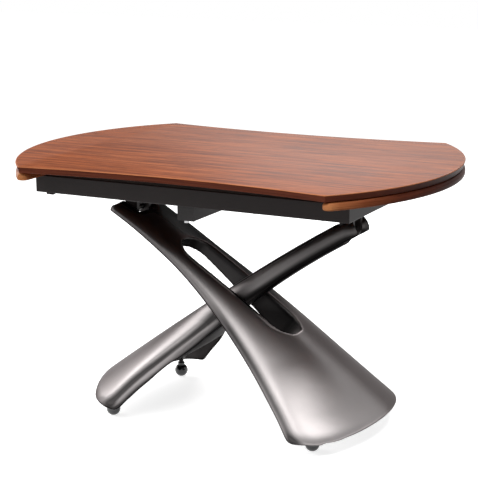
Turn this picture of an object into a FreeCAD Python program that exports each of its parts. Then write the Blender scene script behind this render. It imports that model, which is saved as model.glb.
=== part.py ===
import FreeCAD, Part
import math
import os

os.makedirs("parts", exist_ok=True)
V = FreeCAD.Vector
X, Y, Z = V(1, 0, 0), V(0, 1, 0), V(0, 0, 1)

# Table top: bowed ends, hollowed long sides, sharp corners. Millimetres, floor at z = 0.
top_height = 750.0
top_thickness = 18.0
top_corner_x = 448.5
top_corner_y = 422.5
end_bow = 170.0
side_hollow = 37.0
top_arris = 1.5
top_undercut = 5.0

# End leaves that pull out from under the top
leaf_thickness = 21.0
leaf_gap = 2.0
leaf_tip_radius = 18.0
leaf_bevel = 6.0
leaf_bevel_height = 8.0
leaf_round = 4.0
leaf_lift = 0.5
tongue_inner_x = 30.0

# Frame of mitred box tube
frame_half_x = 467.0
frame_half_y = 315.0
rail_width = 25.0
rail_height = 48.0
rail_wall = 2.0
rail_edge_radius = 2.5

# Battens that carry the top above the frame
batten_width = 22.0
batten_end_gap = 12.0
batten_setback = 3.0

# Slides between the battens and the leaf tongues
slide_height = 18.0
slide_wall = 1.5
slide_flange = 11.0
slide_start_x = 15.0
slide_end_gap = 17.0
slide_play = 0.5
slide_bar_start_x = 35.0
slide_bar_length = 385.0
slide_bar_width = 20.0
slide_bar_gap = 12.0
tape_width = 20.0
tape_length = 380.0
tape_y = 200.0

# Cross beam under the frame
beam_width = 50.0
beam_height = 39.0
beam_wall = 2.5
beam_setback = 10.0
plug_flange = 3.0
plug_depth = 12.0
plug_play = 0.1

# Guide rails for the carriages
guide_headroom = 4.0
guide_depth = 24.0
guide_wall = 3.0
guide_mouth_y = 96.0

# Carriages and their nylon shoes
carriage_width = 40.0
carriage_bar_height = 22.0
shoe_length = 60.0
shoe_play = 0.4
spigot_radius = 7.0
spigot_length = 13.0
lug_thickness = 12.0
lug_end_radius = 20.0
notch_play = 2.0

# Scissor legs: one arc for the edge line, a width that flares to the foot, a crowned upper face
leg_top_inset = 102.0
leg_top_drop = 76.0
leg_foot_x = 335.0
leg_foot_z = -8.0
leg_bow = 44.0
leg_edge_radius = 26.0
leg_edge_top = 10.0
leg_edge_full = 0.65
leg_belly = 3.0
leg_half_top = 97.0
leg_half_foot = 283.0
leg_flare_power = 1.7
leg_flare_start = 0.25
leg_crown_top = 5.0
leg_crown_foot = 102.0
leg_crown_power = 2.6
leg_wall = 14.0
leg_rim = 6.0
cavity_start = 0.72
leg_run_out = 1.08
leg_sections = 16
hollow_sections = 6
foot_end_outer = 1.02
foot_end_inner = 0.992
foot_end_bow = 40.0
foot_end_half = 294.0
foot_corner_radius = 75.0
foot_neck_back = 0.18
foot_neck_play = 1.0
sole_arch_z = 45.0
sole_drop = 5.0
narrow_half = 26.0
narrow_until = 0.53
flare_merge = 0.78

# Slot in the outer leg and fork notches at the leg tops
slot_play = 3.0
slot_reach_up = 236.0
slot_reach_down = 186.0
notch_half_outer = 40.0
notch_half_inner = 34.0
notch_depth = 60.0
pin_from_end = 34.0

# Pins and pivot
fit_gap = 0.02
running_gap = 0.05
hinge_pin_radius = 8.0
hinge_cover_outer = 27.0
hinge_cover_inner = 3.0
shaft_radius = 12.0
shaft_front = 106.0
shaft_back = 112.0
bush_wall = 3.0
bush_length = 14.0
bush_flange_radius = 20.0
bush_flange = 3.0
cap_length = 18.0

# Ball feet on stems that hang from cross pins inside the feet
ball_radius = 20.0
ball_flat = 0.8
ball_setback = 21.0
ball_y = 195.0
ball_relief = 1.5
foot_swing = 26.0
foot_pin_height = 66.0
foot_pin_radius = 5.0
stem_radius = 7.0
stem_socket = 14.0
eye_radius = 12.0
eye_half_width = 9.0
cheek_gap = 1.0
cheek_thickness = 12.0
cheek_half_length = 16.0

# Gas spring that draws the two carriages together
cylinder_radius = 11.0
cylinder_wall = 2.0
cylinder_gap = 19.5
cylinder_length = 356.0
cylinder_end = 8.0
spring_stud_radius = 4.0
rod_radius = 5.0
piston_offset = 146.0
piston_length = 20.0
piston_gap = 0.3

# Release tab under the front rail
tab_inset = 40.0
tab_width = 16.0
tab_thickness = 3.0
tab_length = 90.0
tab_front_gap = 2.0
staple_wall = 2.0
staple_length = 10.0
staple_gap = 0.4

# Screws through the rails and battens, bolts through the beam
screw_radius = 2.5
screw_head_radius = 5.0
screw_head_height = 2.5
screw_bite = 12.0
screw_end_inset = 30.0
screw_inner_x = 200.0
bolt_radius = 4.0
bolt_head_radius = 7.0
bolt_head_height = 5.0
nut_height = 6.0

# Levels that follow from the sizes above
top_under_z = top_height - top_thickness
leaf_top_z = top_under_z - leaf_gap
leaf_low_z = leaf_top_z - leaf_thickness + leaf_lift
frame_top_z = leaf_top_z - leaf_thickness
frame_low_z = frame_top_z - rail_height
rail_inner_y = frame_half_y - rail_width
rail_inner_x = frame_half_x - rail_width
batten_outer_y = frame_half_y - batten_setback
batten_inner_y = batten_outer_y - batten_width
tongue_half_width = batten_inner_y - slide_wall - slide_play - slide_bar_width
leaf_chord_x = slide_bar_start_x + slide_bar_length + slide_bar_gap
batten_half_x = leaf_chord_x - batten_end_gap
slide_end_x = leaf_chord_x - slide_end_gap
screw_end_x = batten_half_x - screw_end_inset
guide_top_z = frame_top_z - guide_headroom
carriage_mid_z = (frame_low_z + guide_top_z) / 2
carriage_low_z = carriage_mid_z - carriage_bar_height / 2
leg_top_x = leg_top_inset - frame_half_x
leg_top_z = frame_low_z - leg_top_drop
ball_x = leg_foot_x - ball_setback
slot_half_width = narrow_half + leg_edge_radius + bush_flange + slot_play
hinge_pin_half_outer = leg_half_top + leg_edge_top - hinge_cover_outer
hinge_pin_half_inner = narrow_half + leg_edge_radius - hinge_cover_inner
tab_x = tab_inset - frame_half_x


def save(name, *shapes):
    shape = shapes[0] if len(shapes) == 1 else Part.makeCompound(list(shapes))
    shape.exportStep("parts/" + name + ".step")


def box(x0, x1, y0, y1, z0, z1):
    corner = V(min(x0, x1), min(y0, y1), min(z0, z1))
    return Part.makeBox(abs(x1 - x0), abs(y1 - y0), abs(z1 - z0), corner)


def rod_y(radius, x, z, y0, y1):
    return Part.makeCylinder(radius, y1 - y0, V(x, y0, z), Y)


def rod_x(radius, y, z, x0, x1):
    return Part.makeCylinder(radius, x1 - x0, V(x0, y, z), X)


def rod_z(radius, x, y, z0, z1):
    return Part.makeCylinder(radius, z1 - z0, V(x, y, z0), Z)


def mirror_x(shape):
    return shape.mirror(V(0, 0, 0), X)


def mirror_y(shape):
    return shape.mirror(V(0, 0, 0), Y)


# Circles of the top's outline: the ends bow out, the long sides bow in
end_radius = (top_corner_y ** 2 + end_bow ** 2) / (2 * end_bow)
end_centre_x = top_corner_x + end_bow - end_radius
side_radius = (top_corner_x ** 2 + side_hollow ** 2) / (2 * side_hollow)
side_centre_y = top_corner_y - side_hollow + side_radius


def outline_corner(inset):
    r_end = end_radius - inset
    r_side = side_radius + inset
    span = math.hypot(end_centre_x, side_centre_y)
    along = (r_end ** 2 - r_side ** 2 + span ** 2) / (2 * span)
    across = math.sqrt(r_end ** 2 - along ** 2)
    ux, uy = -end_centre_x / span, side_centre_y / span
    return end_centre_x + along * ux + across * uy, along * uy - across * ux


def top_outline(inset, z):
    cx, cy = outline_corner(inset)
    end_x = top_corner_x + end_bow - inset
    side_y = top_corner_y - side_hollow - inset
    corners = [V(cx, -cy, z), V(cx, cy, z), V(-cx, cy, z), V(-cx, -cy, z)]
    middles = [V(end_x, 0, z), V(0, side_y, z), V(-end_x, 0, z), V(0, -side_y, z)]
    arcs = []
    for i in range(4):
        arcs.append(Part.Arc(corners[i], middles[i], corners[(i + 1) % 4]).toShape())
    return Part.Wire(arcs)


def screw_places():
    places = []
    for sx in (-screw_end_x, -screw_inner_x, screw_inner_x, screw_end_x):
        for side in (-1, 1):
            places.append((sx, side * (batten_outer_y + batten_inner_y) / 2))
    return places


def screw_holes(z0, z1):
    holes = []
    for sx, sy in screw_places():
        holes.append(rod_z(screw_radius + fit_gap, sx, sy, z0, z1))
    return holes


# Table top with an undercut edge
top_wires = [top_outline(top_undercut, top_under_z),
             top_outline(0, top_height - top_arris),
             top_outline(top_arris, top_height)]
table_top = Part.makeLoft(top_wires, True, True)
table_top = table_top.cut(Part.makeCompound(screw_holes(top_under_z - 1, top_under_z + screw_bite)))
save("table_top", table_top.Solids[0])

# Slide tapes under the top, for the leaves to run on
tapes = []
for side in (-1, 1):
    for end in (-1, 1):
        x0 = end * tongue_inner_x
        x1 = end * (tongue_inner_x + tape_length)
        y0 = side * tape_y - tape_width / 2
        tapes.append(box(x0, x1, y0, y0 + tape_width, leaf_top_z, top_under_z))
save("slide_tapes", *tapes)


# End leaves: a bowed head under each end of the top and a tongue between the battens
def leaf_outline(inset, z):
    r_end = end_radius - inset
    r_tip = leaf_tip_radius - inset
    tip_x = leaf_chord_x + leaf_tip_radius
    tip_y = math.sqrt((end_radius - leaf_tip_radius) ** 2 - (tip_x - end_centre_x) ** 2)
    angle = math.atan2(tip_y, tip_x - end_centre_x)
    meet = V(end_centre_x + r_end * math.cos(angle), r_end * math.sin(angle), z)
    half_turn = (math.pi + angle) / 2
    tip_mid = V(tip_x + r_tip * math.cos(half_turn), tip_y + r_tip * math.sin(half_turn), z)
    chord = V(tip_x - r_tip, tip_y, z)
    far = V(end_centre_x + r_end, 0, z)

    def low(p):
        return V(p.x, -p.y, z)

    return Part.Wire([Part.LineSegment(chord, low(chord)).toShape(),
                      Part.Arc(low(chord), low(tip_mid), low(meet)).toShape(),
                      Part.Arc(low(meet), far, meet).toShape(),
                      Part.Arc(meet, tip_mid, chord).toShape()])


leaf_levels = [(leaf_round, leaf_low_z),
               (0, leaf_low_z + leaf_round),
               (0, leaf_top_z - leaf_lift - leaf_bevel_height),
               (leaf_bevel, leaf_top_z - leaf_lift)]
leaf_head = Part.makeLoft([leaf_outline(inset, z) for inset, z in leaf_levels], True, True)
tongue_end_x = leaf_chord_x + leaf_tip_radius
leaf_tongue = box(tongue_inner_x, tongue_end_x, -tongue_half_width, tongue_half_width,
                  leaf_low_z, leaf_top_z - leaf_lift)
end_leaf = leaf_head.fuse(leaf_tongue).removeSplitter()
save("end_leaf_right", end_leaf.Solids[0])
save("end_leaf_left", mirror_x(end_leaf.Solids[0]))

# Slides: a channel on each batten and a bar on each side of the tongue
slide_mid_z = (frame_top_z + top_under_z) / 2
slide_low_z = slide_mid_z - slide_height / 2
channel = box(slide_start_x, slide_end_x, batten_inner_y - slide_flange, batten_inner_y,
              slide_low_z, slide_low_z + slide_height)
channel = channel.cut(box(slide_start_x - 1, slide_end_x + 1,
                          batten_inner_y - slide_flange - 1, batten_inner_y - slide_wall,
                          slide_low_z + slide_wall, slide_low_z + slide_height - slide_wall))
bar = box(slide_bar_start_x, slide_bar_start_x + slide_bar_length,
          tongue_half_width, tongue_half_width + slide_bar_width,
          slide_low_z + slide_wall + slide_play,
          slide_low_z + slide_height - slide_wall - slide_play)
save("leaf_slide_channels_right", channel, mirror_y(channel))
save("leaf_slide_channels_left", mirror_x(channel), mirror_x(mirror_y(channel)))
save("leaf_slide_bars_right", bar, mirror_y(bar))
save("leaf_slide_bars_left", mirror_x(bar), mirror_x(mirror_y(bar)))

# Battens along the long rails
batten = box(-batten_half_x, batten_half_x, batten_inner_y, batten_outer_y, frame_top_z, top_under_z)
batten_holes = Part.makeCompound(screw_holes(frame_top_z - 1, top_under_z + 1))
save("top_batten_back", batten.cut(batten_holes))
save("top_batten_front", mirror_y(batten).cut(batten_holes))


# Frame rails, mitred at the corners
def mitred_tube(half_length, half_across, along_x):
    def plan(inset, grow):
        outer = half_across - inset
        inner = half_across - rail_width + inset
        lo, hi = half_length - (half_across - inner), half_length - inset
        points = [(-hi - grow, outer), (hi + grow, outer), (lo + grow, inner), (-lo - grow, inner)]
        if not along_x:
            points = [(b, a) for a, b in points]
        return points

    def prism(points, z0, z1):
        loop = [V(a, b, z0) for a, b in points]
        face = Part.Face(Part.makePolygon(loop + [loop[0]]))
        return face.extrude(V(0, 0, z1 - z0))

    body = prism(plan(0, 0), frame_low_z, frame_top_z)
    direction = X if along_x else Y
    long_edges = []
    for edge in body.Edges:
        run = edge.Vertexes[1].Point - edge.Vertexes[0].Point
        outer_edge = abs(edge.CenterOfMass.y if along_x else edge.CenterOfMass.x) > half_across - 1
        if outer_edge and abs(run.normalize() * direction) > 0.99:
            long_edges.append(edge)
    body = body.makeFillet(rail_edge_radius, long_edges)
    hollow = prism(plan(rail_wall, rail_wall), frame_low_z + rail_wall, frame_top_z - rail_wall)
    return body.cut(hollow)


beam_bolt_places = [(0, -(frame_half_y + rail_inner_y) / 2), (0, (frame_half_y + rail_inner_y) / 2)]
beam_holes = []
for bx, by in beam_bolt_places:
    beam_holes.append(rod_z(bolt_radius + fit_gap, bx, by, frame_low_z - beam_height - 1,
                            frame_low_z + rail_wall + 1))
rail_back = mitred_tube(frame_half_x, frame_half_y, True)
rail_cuts = Part.makeCompound(screw_holes(frame_low_z - 1, frame_top_z + 1) + beam_holes)
rail_right = mitred_tube(frame_half_y, frame_half_x, False)
save("frame_rail_back", rail_back.cut(rail_cuts))
save("frame_rail_front", mirror_y(rail_back).cut(rail_cuts))
save("frame_rail_right", rail_right)
save("frame_rail_left", mirror_x(rail_right))

# Cross beam and its end plugs
beam_low_z = frame_low_z - beam_height
beam_end_y = frame_half_y - beam_setback
beam = box(-beam_width / 2, beam_width / 2, -beam_end_y, beam_end_y, beam_low_z, frame_low_z)
beam_edges = [e for e in beam.Edges if abs(e.Length - 2 * beam_end_y) < 0.01]
beam = beam.makeFillet(rail_edge_radius, beam_edges)
beam = beam.cut(box(-beam_width / 2 + beam_wall, beam_width / 2 - beam_wall,
                    -beam_end_y - 1, beam_end_y + 1,
                    beam_low_z + beam_wall, frame_low_z - beam_wall))
save("cross_beam", beam.cut(Part.makeCompound(beam_holes)))
plug_half = beam_width / 2 - beam_wall - plug_play
plug = box(-beam_width / 2, beam_width / 2, beam_end_y, beam_end_y + plug_flange,
           beam_low_z, frame_low_z - plug_play)
plug = plug.fuse(box(-plug_half, plug_half, beam_end_y - plug_depth, beam_end_y,
                     beam_low_z + beam_wall + plug_play, frame_low_z - beam_wall - plug_play))
plug = plug.removeSplitter().cut(Part.makeCompound(beam_holes))
save("beam_plugs", plug, mirror_y(plug))

# Bolts that hold the beam to the rails, with their nuts inside the rails
bolts, nuts = [], []
for bx, by in beam_bolt_places:
    head = rod_z(bolt_head_radius, bx, by, beam_low_z - bolt_head_height, beam_low_z)
    nut_low = frame_low_z + rail_wall
    shank = rod_z(bolt_radius, bx, by, beam_low_z, nut_low + nut_height)
    bolts.append(head.fuse(shank).removeSplitter())
    nut = rod_z(bolt_head_radius, bx, by, nut_low, nut_low + nut_height)
    nuts.append(nut.cut(rod_z(bolt_radius + fit_gap, bx, by, nut_low - 1, nut_low + nut_height + 1)))
save("beam_bolts", *bolts)
save("beam_nuts", *nuts)

# Screws up through the rails and battens into the top
screws = []
for sx, sy in screw_places():
    head = rod_z(screw_head_radius, sx, sy, frame_low_z - screw_head_height, frame_low_z)
    shank = rod_z(screw_radius, sx, sy, frame_low_z, top_under_z + screw_bite)
    screws.append(head.fuse(shank).removeSplitter())
save("top_screws", *screws)

# Guide rails between the end rails, mouths facing each other
guide_back_y = guide_mouth_y + guide_depth
guide = box(-rail_inner_x, rail_inner_x, guide_mouth_y, guide_back_y, frame_low_z, guide_top_z)
guide = guide.cut(box(-rail_inner_x - 1, rail_inner_x + 1, guide_mouth_y - 1, guide_back_y - guide_wall,
                      frame_low_z + guide_wall, guide_top_z - guide_wall))
save("guide_rail_back", guide)
save("guide_rail_front", mirror_y(guide))

# Edge line of a leg: an arc from its top to its foot
chord_x, chord_z = leg_foot_x - leg_top_x, leg_foot_z - leg_top_z
chord = math.hypot(chord_x, chord_z)
leg_radius = ((chord / 2) ** 2 + leg_bow ** 2) / (2 * leg_bow)
bow_x, bow_z = -chord_z / chord, chord_x / chord
arc_x = (leg_top_x + leg_foot_x) / 2 - (leg_radius - leg_bow) * bow_x
arc_z = (leg_top_z + leg_foot_z) / 2 - (leg_radius - leg_bow) * bow_z
arc_start = math.atan2(leg_top_z - arc_z, leg_top_x - arc_x)
arc_sweep = 2 * math.asin(chord / 2 / leg_radius)
leg_length = leg_radius * arc_sweep


def normal_at(s):
    angle = arc_start - s * arc_sweep
    return V(math.cos(angle), 0, math.sin(angle))


def along_at(s):
    n = normal_at(s)
    return V(n.z, 0, -n.x)


def edge_at(s):
    return V(arc_x, 0, arc_z) + normal_at(s) * leg_radius


def outer_half(s):
    t = max(0, (s - leg_flare_start) / (1 - leg_flare_start))
    return leg_half_top + (leg_half_foot - leg_half_top) * t ** leg_flare_power


def inner_half(s):
    t = min(1, max(0, (s - narrow_until) / (flare_merge - narrow_until)))
    blend = t * t * (3 - 2 * t)
    return narrow_half + (outer_half(s) - narrow_half) * blend


# The slotted leg is thin edged at its top, the inner leg has full round edges all along
def outer_edge(s):
    t = min(1, max(0, s / leg_edge_full))
    return leg_edge_top + (leg_edge_radius - leg_edge_top) * t * t * (3 - 2 * t)


def inner_edge(s):
    return leg_edge_radius


def crown(s):
    return leg_crown_top + (leg_crown_foot - leg_crown_top) * s ** leg_crown_power


def crown_circle(half, rise, edge):
    depth = (half ** 2 - rise ** 2) / (2 * rise)
    return depth, depth + edge + rise


# Section of a leg: round edges, with a crowned top and a slight belly tangent to them
def leg_section(s, half, edge):
    origin, n = edge_at(s), normal_at(s)
    high = math.atan2(crown_circle(half, crown(s), edge)[0], half)
    low = -math.atan2(crown_circle(half, leg_belly, edge)[0], half)

    def at(y, up):
        return origin + Y * y + n * up

    def edge_point(side, angle):
        return at(side * (half + edge * math.cos(angle)), edge * math.sin(angle))

    middle = (high + low) / 2
    return Part.Wire([
        Part.Arc(edge_point(-1, low), at(0, -edge - leg_belly), edge_point(1, low)).toShape(),
        Part.Arc(edge_point(1, low), edge_point(1, middle), edge_point(1, high)).toShape(),
        Part.Arc(edge_point(1, high), at(0, edge + crown(s)), edge_point(-1, high)).toShape(),
        Part.Arc(edge_point(-1, high), edge_point(-1, middle), edge_point(-1, low)).toShape()])


# Section of the hollow under a foot: open below, parallel to the crown above
def cavity_section(s, half):
    origin, n = edge_at(s), normal_at(s)
    depth, big = crown_circle(half, crown(s), leg_edge_radius)
    inside = big - leg_wall
    y_wall = half - leg_rim
    shoulder = math.sqrt(inside ** 2 - y_wall ** 2) - depth
    below = -2 * leg_edge_radius

    def at(y, up):
        return origin + Y * y + n * up

    return Part.Wire([
        Part.LineSegment(at(-y_wall, below), at(y_wall, below)).toShape(),
        Part.LineSegment(at(y_wall, below), at(y_wall, shoulder)).toShape(),
        Part.Arc(at(y_wall, shoulder), at(0, inside - depth), at(-y_wall, shoulder)).toShape(),
        Part.LineSegment(at(-y_wall, shoulder), at(-y_wall, below)).toShape()])


def stations(first, last, count):
    return [first + (last - first) * i / (count - 1) for i in range(count)]


# Crossing of the two mirrored legs, hinge pin at the top, ball pin at the foot
low, high = 0.0, 1.0
for _ in range(60):
    middle = (low + high) / 2
    if edge_at(middle).x < 0:
        low = middle
    else:
        high = middle
pivot_station = (low + high) / 2
pivot = edge_at(pivot_station)
hinge = edge_at(pin_from_end / leg_length)
foot_end_radius = (foot_end_half ** 2 + foot_end_bow ** 2) / (2 * foot_end_bow)
sole_radius = (ball_y ** 2 + sole_drop ** 2) / (2 * sole_drop)


# Plan of a foot: a bowed end with large round corners, square to the leg's own normal
def foot_plan(end, inset):
    n, t = normal_at(end), along_at(end)
    tip = edge_at(end) - n * leg_length
    neck_half = outer_half(end - foot_neck_back) + leg_edge_radius + foot_neck_play
    neck = -foot_neck_back * leg_length
    end_half = outer_half(end) + leg_edge_radius
    end_back = foot_end_radius - math.sqrt(foot_end_radius ** 2 - end_half ** 2)

    def at(along, y):
        return tip + t * along + Y * y

    wide = at(-2 * leg_length, 2 * leg_length), at(-2 * leg_length, -2 * leg_length)
    waist = at(neck, neck_half - inset), at(neck, inset - neck_half)
    corner = at(-end_back - inset, end_half - inset), at(-end_back - inset, inset - end_half)
    loop = Part.Wire([Part.LineSegment(wide[1], wide[0]).toShape(),
                      Part.LineSegment(wide[0], waist[0]).toShape(),
                      Part.LineSegment(waist[0], corner[0]).toShape(),
                      Part.Arc(corner[0], at(-inset, 0), corner[1]).toShape(),
                      Part.LineSegment(corner[1], waist[1]).toShape(),
                      Part.LineSegment(waist[1], wide[1]).toShape()])
    prism = Part.Face(loop).extrude(n * 2 * leg_length)
    uprights = []
    for edge in prism.Edges:
        middle = edge.CenterOfMass
        for side in (0, 1):
            if (middle - corner[side] - n * leg_length).Length < 1:
                uprights.append(edge)
    return prism.makeFillet(foot_corner_radius - inset, uprights)


# Space a ball foot needs as it hangs upright while the leg lies down
def ball_sweep(y):
    radius = ball_radius + ball_relief
    centre = V(ball_x, y, ball_radius - ball_flat)
    pin_at = V(ball_x, y, foot_pin_height)
    raised = Part.makeSphere(radius, centre)
    lowered = raised.copy()
    lowered.rotate(pin_at, Y, foot_swing)
    disc = Part.Face(Part.Wire(Part.makeCircle(radius, centre, X)))
    return [raised, disc.revolve(pin_at, Y, foot_swing), lowered]


def leg_body(half_width, edge, notch_half, end):
    sections = [leg_section(s, half_width(s), edge(s)) for s in stations(0, leg_run_out, leg_sections)]
    body = Part.makeLoft(sections, True, False)
    sole = Part.makeCylinder(sole_radius, 2 * leg_length,
                             V(-leg_length, 0, sole_arch_z - sole_radius), X)
    outer = body.common(foot_plan(end, 0)).cut(sole)
    hollow = Part.makeLoft([cavity_section(s, half_width(s))
                            for s in stations(cavity_start, leg_run_out, hollow_sections)], True, False)
    leg = outer.cut(hollow.common(foot_plan(end, leg_wall)))
    cheeks = []
    for side in (-1, 1):
        for hand in (-1, 1):
            near = side * ball_y + hand * (eye_half_width + cheek_gap)
            far = near + hand * cheek_thickness
            cheeks.append(box(ball_x - cheek_half_length, ball_x + cheek_half_length, near, far,
                              foot_pin_height, leg_length))
            y0, y1 = min(near, far), max(near, far)
            cheeks.append(rod_y(cheek_half_length, ball_x, foot_pin_height, y0, y1))
    leg = leg.fuse(Part.makeCompound(cheeks).common(outer)).removeSplitter()
    cuts = []
    for side in (-1, 1):
        cuts.extend(ball_sweep(side * ball_y))
        reach = eye_half_width + cheek_gap + cheek_thickness
        cuts.append(rod_y(foot_pin_radius + fit_gap, ball_x, foot_pin_height,
                          side * ball_y - reach, side * ball_y + reach))
        cuts.append(rod_y(eye_radius + cheek_gap, ball_x, foot_pin_height,
                          side * ball_y - eye_half_width - cheek_gap,
                          side * ball_y + eye_half_width + cheek_gap))
    top_end, n, t = edge_at(0), normal_at(0), along_at(0)
    notch = box(-notch_depth, notch_depth, -notch_half, notch_half, -notch_depth, notch_depth)
    notch.Placement = FreeCAD.Placement(top_end, FreeCAD.Rotation(t, Y, n, "XZY"))
    cuts.append(notch)
    for piece in cuts:
        leg = leg.cut(piece)
    return leg


# Racetrack slot square to the leg at the pivot
def slot_prism():
    n, t = normal_at(pivot_station), along_at(pivot_station)
    up = pivot - t * (slot_reach_up - slot_half_width) - n * leg_length / 2
    down = pivot + t * (slot_reach_down - slot_half_width) - n * leg_length / 2
    side = Y * slot_half_width
    loop = Part.Wire([Part.LineSegment(up - side, down - side).toShape(),
                      Part.Arc(down - side, down + t * slot_half_width, down + side).toShape(),
                      Part.LineSegment(down + side, up + side).toShape(),
                      Part.Arc(up + side, up - t * slot_half_width, up - side).toShape()])
    return Part.Face(loop).extrude(n * leg_length)


# Slotted outer leg: its bores are blind at the front and open at the back
outer_leg = leg_body(outer_half, outer_edge, notch_half_outer, foot_end_outer).cut(slot_prism())
outer_leg = outer_leg.cut(rod_y(shaft_radius + fit_gap, pivot.x, pivot.z, -shaft_front, leg_half_foot))
outer_leg = outer_leg.cut(rod_y(hinge_pin_radius + fit_gap, hinge.x, hinge.z,
                                -hinge_pin_half_outer, leg_half_foot))
save("slotted_leg", outer_leg.Solids[0])

# Inner leg, narrow where it passes through the slot, mirrored to cross the other
bush_radius = shaft_radius + running_gap + bush_wall
inner_side = narrow_half + leg_edge_radius
inner_leg = leg_body(inner_half, inner_edge, notch_half_inner, foot_end_inner)
inner_leg = inner_leg.cut(rod_y(bush_radius + fit_gap, pivot.x, pivot.z, -leg_half_foot, leg_half_foot))
inner_leg = inner_leg.cut(rod_y(hinge_pin_radius + fit_gap, hinge.x, hinge.z,
                                -hinge_pin_half_inner, leg_half_foot))
save("inner_leg", mirror_x(inner_leg.Solids[0]))

# Pivot shaft, its cap at the back, and flanged bushes in the inner leg
save("pivot_shaft", rod_y(shaft_radius, pivot.x, pivot.z, -shaft_front, shaft_back))
save("pivot_cap", rod_y(shaft_radius, pivot.x, pivot.z, shaft_back, shaft_back + cap_length))
bush = rod_y(bush_radius, pivot.x, pivot.z, inner_side - bush_length, inner_side)
bush = bush.fuse(rod_y(bush_flange_radius, pivot.x, pivot.z, inner_side, inner_side + bush_flange))
bush = bush.removeSplitter().cut(rod_y(shaft_radius + running_gap, pivot.x, pivot.z, 0, leg_length))
save("pivot_bushes", bush, mirror_y(bush))

# Hinge pins at the leg tops
save("hinge_pin_left", rod_y(hinge_pin_radius, hinge.x, hinge.z,
                             -hinge_pin_half_outer, hinge_pin_half_outer))
save("hinge_pin_right", rod_y(hinge_pin_radius, -hinge.x, hinge.z,
                              -hinge_pin_half_inner, hinge_pin_half_inner))


# Carriage: a bar between the guide rails with two lugs down to the hinge pin
def carriage(notch_half):
    x0, x1 = hinge.x - carriage_width / 2, hinge.x + carriage_width / 2
    body = box(x0, x1, -guide_mouth_y - notch_play, guide_mouth_y + notch_play,
               carriage_low_z, carriage_low_z + carriage_bar_height)
    lug_out = notch_half - notch_play
    for side in (-1, 1):
        y_out, y_in = side * lug_out, side * (lug_out - lug_thickness)
        body = body.fuse(box(x0, x1, y_in, y_out, hinge.z, carriage_low_z))
        body = body.fuse(rod_y(lug_end_radius, hinge.x, hinge.z, min(y_in, y_out), max(y_in, y_out)))
        spigot_y = side * (guide_mouth_y + notch_play)
        body = body.fuse(rod_y(spigot_radius, hinge.x, carriage_mid_z,
                               min(spigot_y, spigot_y + side * spigot_length),
                               max(spigot_y, spigot_y + side * spigot_length)))
    body = body.removeSplitter()
    body = body.cut(rod_y(hinge_pin_radius + running_gap, hinge.x, hinge.z, -leg_length, leg_length))
    return body.cut(rod_x(spring_stud_radius + fit_gap, 0, carriage_mid_z, x0 - 1, x1 + 1))


save("carriage_left", carriage(notch_half_outer))
save("carriage_right", mirror_x(carriage(notch_half_inner)))

# Nylon shoes on the carriage ends
shoe_y = guide_mouth_y + notch_play
shoe = box(hinge.x - shoe_length / 2, hinge.x + shoe_length / 2,
           shoe_y, guide_back_y - guide_wall - shoe_play,
           frame_low_z + guide_wall + shoe_play, guide_top_z - guide_wall - shoe_play)
shoe = shoe.cut(rod_y(spigot_radius + fit_gap, hinge.x, carriage_mid_z, shoe_y - 1, shoe_y + spigot_length))
save("glide_shoes_left", shoe, mirror_y(shoe))
save("glide_shoes_right", mirror_x(shoe), mirror_x(mirror_y(shoe)))

# Gas spring between the carriages
stud_x = hinge.x - carriage_width / 2
cylinder_left_x = hinge.x + carriage_width / 2 + cylinder_gap
cylinder_right_x = cylinder_left_x + cylinder_length
piston_x = cylinder_left_x + piston_offset
cylinder = rod_x(cylinder_radius, 0, carriage_mid_z, cylinder_left_x, cylinder_right_x)
cylinder = cylinder.cut(rod_x(cylinder_radius - cylinder_wall, 0, carriage_mid_z,
                              cylinder_left_x + cylinder_end, cylinder_right_x - cylinder_end))
cylinder = cylinder.cut(rod_x(rod_radius + running_gap, 0, carriage_mid_z,
                              cylinder_right_x - cylinder_end - 1, cylinder_right_x + 1))
cylinder = cylinder.fuse(rod_x(spring_stud_radius, 0, carriage_mid_z, stud_x, cylinder_left_x))
save("gas_spring_cylinder", cylinder.removeSplitter())
rod_end_x = -hinge.x - carriage_width / 2
piston = rod_x(cylinder_radius - cylinder_wall - piston_gap, 0, carriage_mid_z,
               piston_x, piston_x + piston_length)
spring_rod = rod_x(rod_radius, 0, carriage_mid_z, piston_x + piston_length, rod_end_x)
rod_stud = rod_x(spring_stud_radius, 0, carriage_mid_z, rod_end_x, rod_end_x + carriage_width)
save("gas_spring_rod", piston.fuse(spring_rod).fuse(rod_stud).removeSplitter())

# Ball feet, stems and their cross pins
balls, stems, pins = [], [], []
for side in (-1, 1):
    y = side * ball_y
    ball = Part.makeSphere(ball_radius, V(ball_x, y, ball_radius - ball_flat))
    ball = ball.cut(box(ball_x - ball_radius, ball_x + ball_radius, y - ball_radius, y + ball_radius,
                        -ball_radius, 0))
    ball_top = 2 * ball_radius - ball_flat
    stem_low = ball_top - stem_socket
    ball = ball.cut(rod_z(stem_radius + fit_gap, ball_x, y, stem_low, ball_top + 1))
    balls.append(ball)
    stem = rod_z(stem_radius, ball_x, y, stem_low, foot_pin_height)
    stem = stem.fuse(rod_y(eye_radius, ball_x, foot_pin_height, y - eye_half_width, y + eye_half_width))
    stem = stem.removeSplitter()
    stems.append(stem.cut(rod_y(foot_pin_radius + running_gap, ball_x, foot_pin_height,
                                y - ball_radius, y + ball_radius)))
    reach = eye_half_width + cheek_gap + cheek_thickness
    pins.append(rod_y(foot_pin_radius, ball_x, foot_pin_height, y - reach, y + reach))
for kind, group in (("foot_balls", balls), ("foot_stems", stems), ("foot_pins", pins)):
    save(kind + "_right", *group)
    save(kind + "_left", *[mirror_x(piece) for piece in group])

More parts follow.
